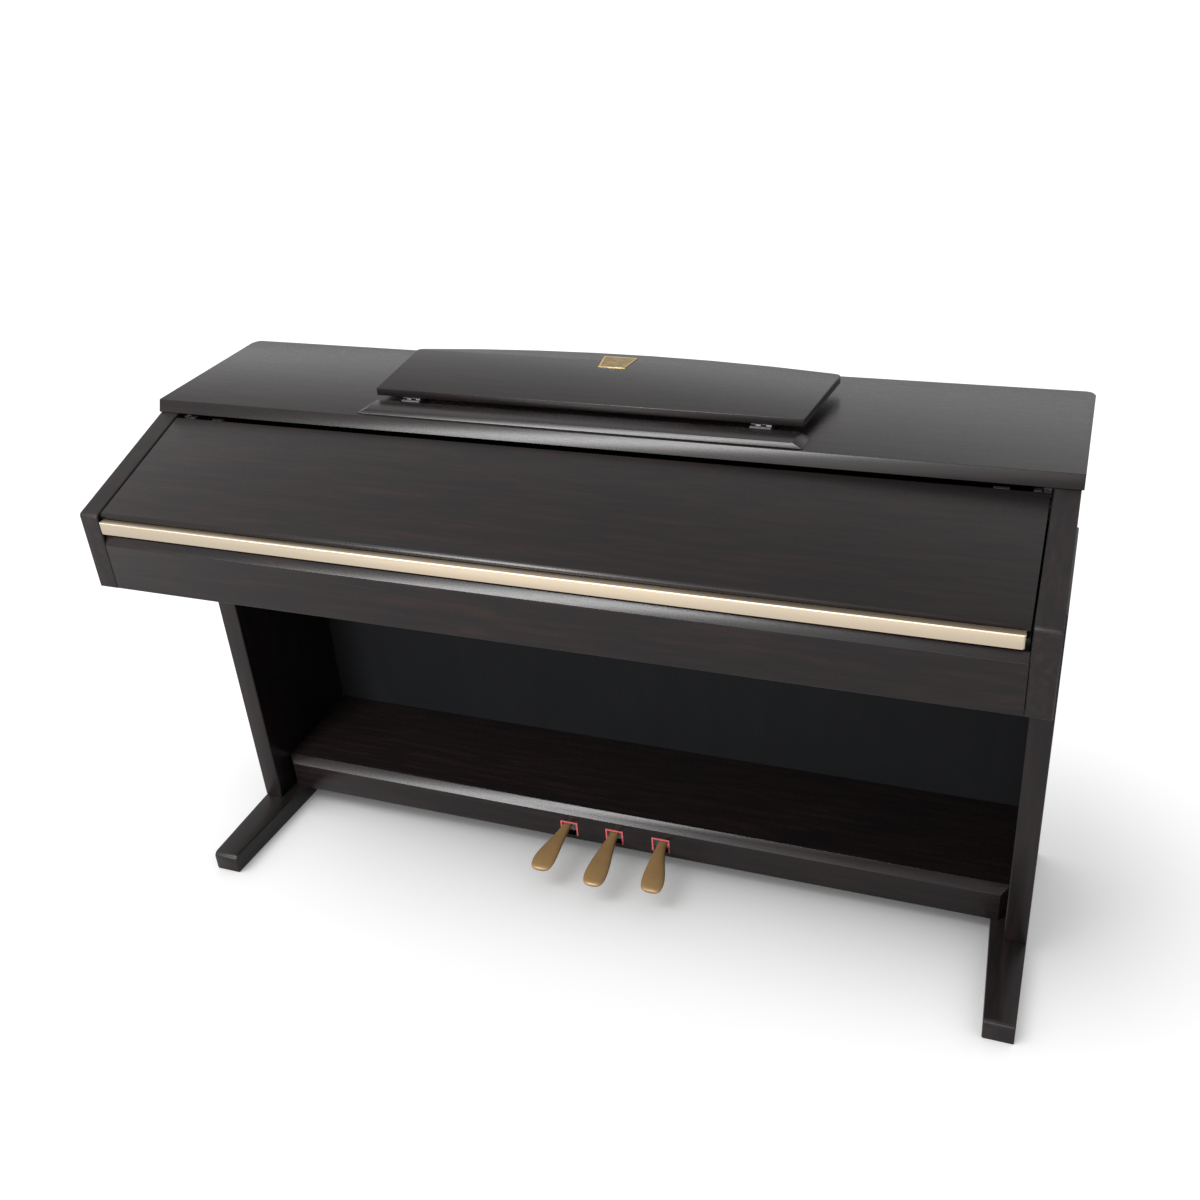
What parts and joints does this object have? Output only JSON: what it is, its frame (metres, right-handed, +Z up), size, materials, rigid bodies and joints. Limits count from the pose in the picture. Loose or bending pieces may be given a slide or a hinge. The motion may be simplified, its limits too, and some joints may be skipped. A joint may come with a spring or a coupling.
{
  "type": "digital piano",
  "caption": "Console digital piano in a dark wood case with a sliding key cover, a folding music rest, pedals on a low board and panel legs on floor runners.",
  "frame": {"origin": "middle of the footprint, on the floor", "axes": "+X to the player's right along the keyboard, +Y towards the rear, +Z up"},
  "size_m": [1.4, 0.52, 0.8745],
  "materials": {
    "rosewood": "satin dark rosewood laminate",
    "dark_backing": "matt dark laminate",
    "champagne_metal": "satin champagne",
    "pedal_brass": "worn satin",
    "plated_steel": "plated",
    "nylon": "matt",
    "black_plastic": "fine texture",
    "grey_plastic": "matt",
    "white_key": "gloss",
    "black_key": "satin",
    "red_felt": "felt",
    "circuit_board": "lacquered"
  },
  "bodies": {
    "case": {"top_board": "rosewood", "arm_left": "rosewood", "arm_right": "rosewood", "key_bed": "dark_backing", "key_slip": "rosewood", "case_back": "dark_backing", "control_panel": "black_plastic", "cheek_block_left": "rosewood", "cheek_block_right": "rosewood", "key_frame": "plated_steel", "key_felt": "red_felt", "cover_rail_left": "nylon", "cover_rail_right": "nylon", "music_ledge": "rosewood", "leg_left": "rosewood", "leg_right": "rosewood", "foot_left": "rosewood", "foot_right": "rosewood", "back_panel": "dark_backing", "shelf_board": "rosewood", "pedal_board": "rosewood", "pedal_felt_left": "red_felt", "pedal_felt_middle": "red_felt", "pedal_felt_right": "red_felt", "pedal_bracket": "plated_steel", "speaker_left": "black_plastic", "speaker_right": "black_plastic", "main_board": "circuit_board", "power_supply": "plated_steel", "mains_inlet": "black_plastic", "headphone_unit": "black_plastic", "ledge_hinge_left": "plated_steel", "ledge_hinge_right": "plated_steel"},
    "carriage": {"cover_guide_left": "nylon", "cover_guide_right": "nylon"},
    "cover": {"key_cover": "rosewood", "cover_handle": "champagne_metal", "cover_bracket_left": "plated_steel", "cover_bracket_right": "plated_steel"},
    "shaft": {"cover_shaft": "plated_steel"},
    "rest": {"music_rest": "rosewood", "rest_hinge_left": "plated_steel", "rest_hinge_right": "plated_steel", "stay_bracket_left": "plated_steel", "stay_bracket_right": "plated_steel"},
    "stay_left": {"rest_stay_left": "plated_steel"},
    "stay_right": {"rest_stay_right": "plated_steel"},
    "left_pedal": {"pedal_left": "pedal_brass"},
    "middle_pedal": {"pedal_middle": "pedal_brass"},
    "right_pedal": {"pedal_right": "pedal_brass"},
    "power": {"power_button": "black_plastic"},
    "volume": {"volume_slider": "grey_plastic"},
    "function": {"function_button": "black_plastic"},
    "bass_bank": {"keys_bass": "white_key"},
    "treble_bank": {"keys_treble": "white_key"},
    "c4": {"key_c4": "white_key"},
    "c4_sharp": {"key_c4_sharp": "black_key"},
    "d4": {"key_d4": "white_key"},
    "d4_sharp": {"key_d4_sharp": "black_key"},
    "e4": {"key_e4": "white_key"}
  },
  "joints": [
    {"name": "cover_slide", "type": "slide", "parent": "case", "child": "carriage", "axis": [0, 0.9994, -0.0349], "range_m": [0, 0.215]},
    {"name": "cover_tilt", "type": "hinge", "parent": "carriage", "child": "cover", "pos_m": [0, -0.012, 0.815], "axis": [1, 0, 0], "range_deg": [-17, 0]},
    {"name": "shaft_spin", "type": "hinge", "parent": "carriage", "child": "shaft", "pos_m": [0, -0.012, 0.815], "axis": [1, 0, 0], "range_deg": [-1369, 0]},
    {"name": "rest_fold", "type": "hinge", "parent": "case", "child": "rest", "pos_m": [0, 0.0335, 0.8574], "axis": [1, 0, 0], "range_deg": [0, 70]},
    {"name": "stay_left_swing", "type": "hinge", "parent": "rest", "child": "stay_left", "pos_m": [-0.15, 0.126, 0.8574], "axis": [1, 0, 0], "range_deg": [-140, 0]},
    {"name": "stay_right_swing", "type": "hinge", "parent": "rest", "child": "stay_right", "pos_m": [0.15, 0.126, 0.8574], "axis": [1, 0, 0], "range_deg": [-140, 0]},
    {"name": "pedal_left_press", "type": "hinge", "parent": "case", "child": "left_pedal", "pos_m": [-0.0855, 0.15, 0.06], "axis": [1, 0, 0], "range_deg": [0, 5], "stiffness_Nm_per_rad": 5, "springref_deg": -14.32},
    {"name": "pedal_middle_press", "type": "hinge", "parent": "case", "child": "middle_pedal", "pos_m": [0, 0.15, 0.06], "axis": [1, 0, 0], "range_deg": [0, 5], "stiffness_Nm_per_rad": 5, "springref_deg": -14.32},
    {"name": "pedal_right_press", "type": "hinge", "parent": "case", "child": "right_pedal", "pos_m": [0.0855, 0.15, 0.06], "axis": [1, 0, 0], "range_deg": [0, 5], "stiffness_Nm_per_rad": 5, "springref_deg": -14.32},
    {"name": "power_press", "type": "slide", "parent": "case", "child": "power", "axis": [0, 0.5797, -0.8149], "range_m": [0, 0.0015], "stiffness_N_per_m": 300, "springref_m": -0.001},
    {"name": "volume_travel", "type": "slide", "parent": "case", "child": "volume", "axis": [1, 0, 0], "range_m": [-0.015, 0.015]},
    {"name": "function_press", "type": "slide", "parent": "case", "child": "function", "axis": [0, 0.5797, -0.8149], "range_m": [0, 0.0015], "stiffness_N_per_m": 300, "springref_m": -0.001},
    {"name": "bass_bank_press", "type": "hinge", "parent": "case", "child": "bass_bank", "pos_m": [-0.34, -0.01, 0.7215], "axis": [1, 0, 0], "range_deg": [0, 2.67], "stiffness_Nm_per_rad": 18, "springref_deg": -18.91},
    {"name": "treble_bank_press", "type": "hinge", "parent": "case", "child": "treble_bank", "pos_m": [0.305, -0.01, 0.7215], "axis": [1, 0, 0], "range_deg": [0, 2.67], "stiffness_Nm_per_rad": 18, "springref_deg": -18.91},
    {"name": "c4_press", "type": "hinge", "parent": "case", "child": "c4", "pos_m": [-0.05875, -0.01, 0.7215], "axis": [1, 0, 0], "range_deg": [0, 2.67], "stiffness_Nm_per_rad": 0.6, "springref_deg": -17.19},
    {"name": "c4_sharp_press", "type": "hinge", "parent": "case", "child": "c4_sharp", "pos_m": [-0.0493, -0.01, 0.7215], "axis": [1, 0, 0], "range_deg": [0, 2.67], "stiffness_Nm_per_rad": 0.6, "springref_deg": -17.19},
    {"name": "d4_press", "type": "hinge", "parent": "case", "child": "d4", "pos_m": [-0.03525, -0.01, 0.7215], "axis": [1, 0, 0], "range_deg": [0, 2.67], "stiffness_Nm_per_rad": 0.6, "springref_deg": -17.19},
    {"name": "d4_sharp_press", "type": "hinge", "parent": "case", "child": "d4_sharp", "pos_m": [-0.0212, -0.01, 0.7215], "axis": [1, 0, 0], "range_deg": [0, 2.67], "stiffness_Nm_per_rad": 0.6, "springref_deg": -17.19},
    {"name": "e4_press", "type": "hinge", "parent": "case", "child": "e4", "pos_m": [-0.01175, -0.01, 0.7215], "axis": [1, 0, 0], "range_deg": [0, 2.67], "stiffness_Nm_per_rad": 0.6, "springref_deg": -17.19}
  ],
  "couplings": [
    {"joint": "cover_tilt", "follows": "cover_slide", "rad_per_m": -1.3783},
    {"joint": "shaft_spin", "follows": "cover_slide", "rad_per_m": -111.11},
    {"joint": "stay_left_swing", "follows": "rest_fold", "ratio": -2},
    {"joint": "stay_right_swing", "follows": "rest_fold", "ratio": -2}
  ]
}
